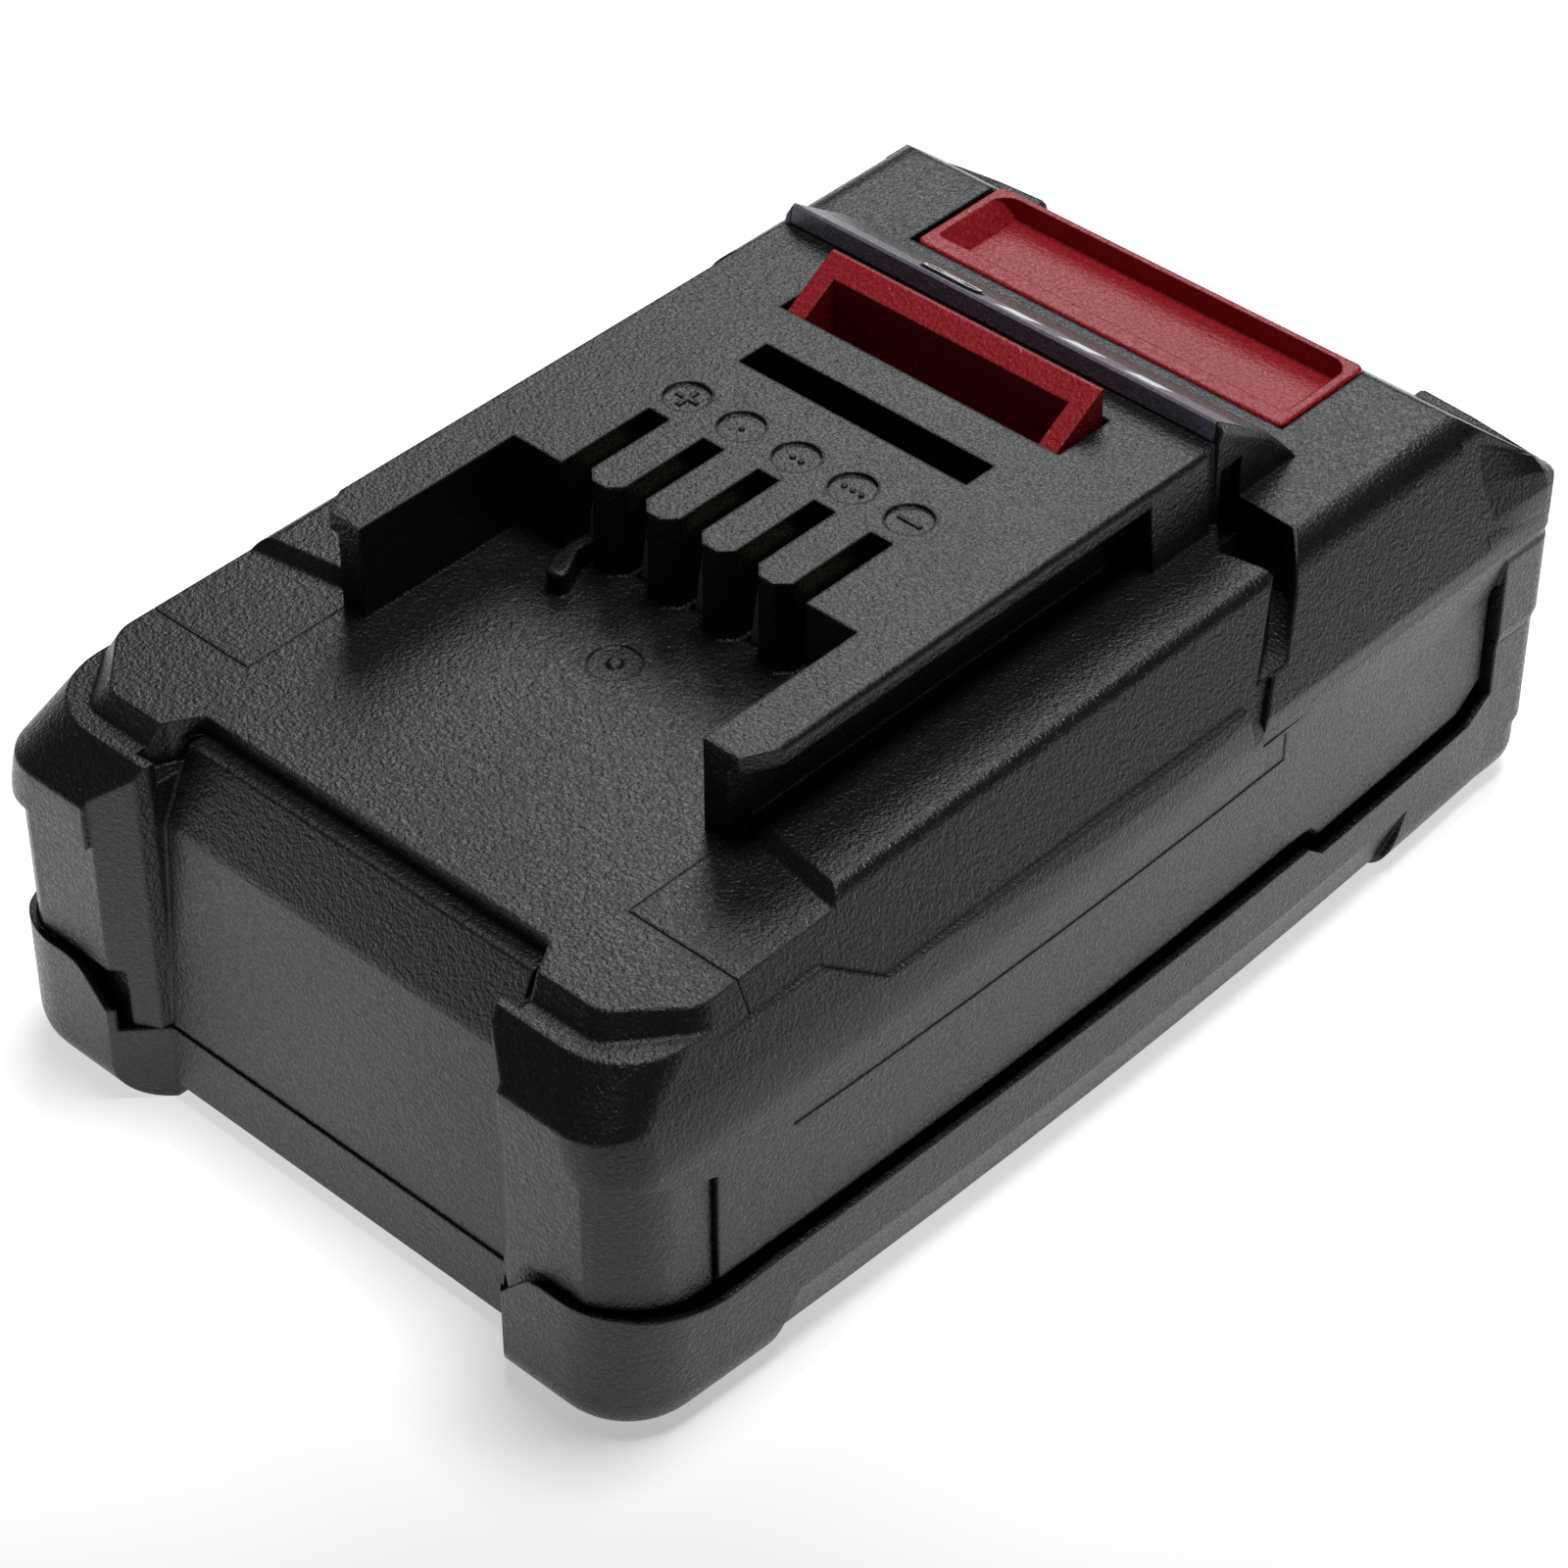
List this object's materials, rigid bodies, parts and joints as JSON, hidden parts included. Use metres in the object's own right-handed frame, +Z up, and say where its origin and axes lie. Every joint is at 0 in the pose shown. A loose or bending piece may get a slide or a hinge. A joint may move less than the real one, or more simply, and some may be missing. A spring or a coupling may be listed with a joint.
{
  "type": "power tool battery pack",
  "caption": "Slide-on cordless tool battery pack: two-part dark plastic case, rail deck with terminal slots, charge indicator and a sprung red release latch.",
  "frame": {"origin": "middle of the footprint on the resting plane, at the bottom of the feet", "axes": "+Z up, -Y towards the open ends of the rails (the end that enters the tool first), +Y towards the release button, +X to the right seen from the open end of the rails looking along +Y"},
  "size_m": [0.0786, 0.1192, 0.051],
  "materials": {
    "case_plastic": "fine textured charcoal black",
    "latch_plastic": "satin dark red",
    "label_film": "glossy smoked black",
    "window_plastic": "milky white, translucent",
    "button_plastic": "glossy dark grey",
    "inner_plastic": "moulded dark grey",
    "cell_sleeve": "shrunk sleeve, semi-gloss green",
    "nickel": "rolled nickel",
    "contact_metal": "plated copper alloy",
    "steel": "zinc plated",
    "spring_steel": "drawn spring wire",
    "board": "green solder resist",
    "chip": "moulded epoxy black",
    "fish_paper": "grey insulating paper",
    "foam": "closed-cell foam",
    "wire_red": "silicone insulation, red",
    "wire_black": "silicone insulation, black",
    "label_paper": "bare silver-grey label film"
  },
  "bodies": {
    "case": {"upper_housing": "case_plastic", "lower_housing": "case_plastic", "indicator_label": "label_film", "led_windows": "window_plastic", "indicator_board": "board", "status_leds": "window_plastic", "tact_switch": "chip", "indicator_wires": "wire_black", "latch_spring_left": "spring_steel", "latch_spring_right": "spring_steel", "spring_carrier": "inner_plastic", "cell_1": "cell_sleeve", "cell_2": "cell_sleeve", "cell_3": "cell_sleeve", "cell_4": "cell_sleeve", "cell_5": "cell_sleeve", "cell_holder_left": "inner_plastic", "cell_holder_right": "inner_plastic", "strip_negative": "nickel", "strip_12": "nickel", "strip_23": "nickel", "strip_34": "nickel", "strip_45": "nickel", "strip_positive": "nickel", "insulator_left": "fish_paper", "insulator_right": "fish_paper", "bms_board": "board", "mosfets": "chip", "shunt_resistor": "steel", "controller_chip": "chip", "capacitors": "steel", "board_spacers": "inner_plastic", "terminal_block": "inner_plastic", "contact_positive": "contact_metal", "contact_temperature": "contact_metal", "contact_sense": "contact_metal", "contact_data": "contact_metal", "contact_negative": "contact_metal", "lead_positive": "wire_red", "lead_negative": "wire_black", "thermistor": "chip", "foam_pads": "foam", "rating_label": "label_paper", "housing_screws": "steel"},
    "latch": {"release_latch": "latch_plastic"},
    "button": {"indicator_button": "button_plastic"}
  },
  "joints": [
    {"name": "latch_press", "type": "slide", "parent": "case", "child": "latch", "axis": [0, 0, -1], "range_m": [0, 0.0038], "stiffness_N_per_m": 900, "springref_m": -0.003, "deforming": ["latch_spring_left", "latch_spring_right"]},
    {"name": "indicator_press", "type": "slide", "parent": "case", "child": "button", "axis": [0, -0.5636, -0.8261], "range_m": [0, 0.0004], "stiffness_N_per_m": 500, "springref_m": -0.0006}
  ]
}
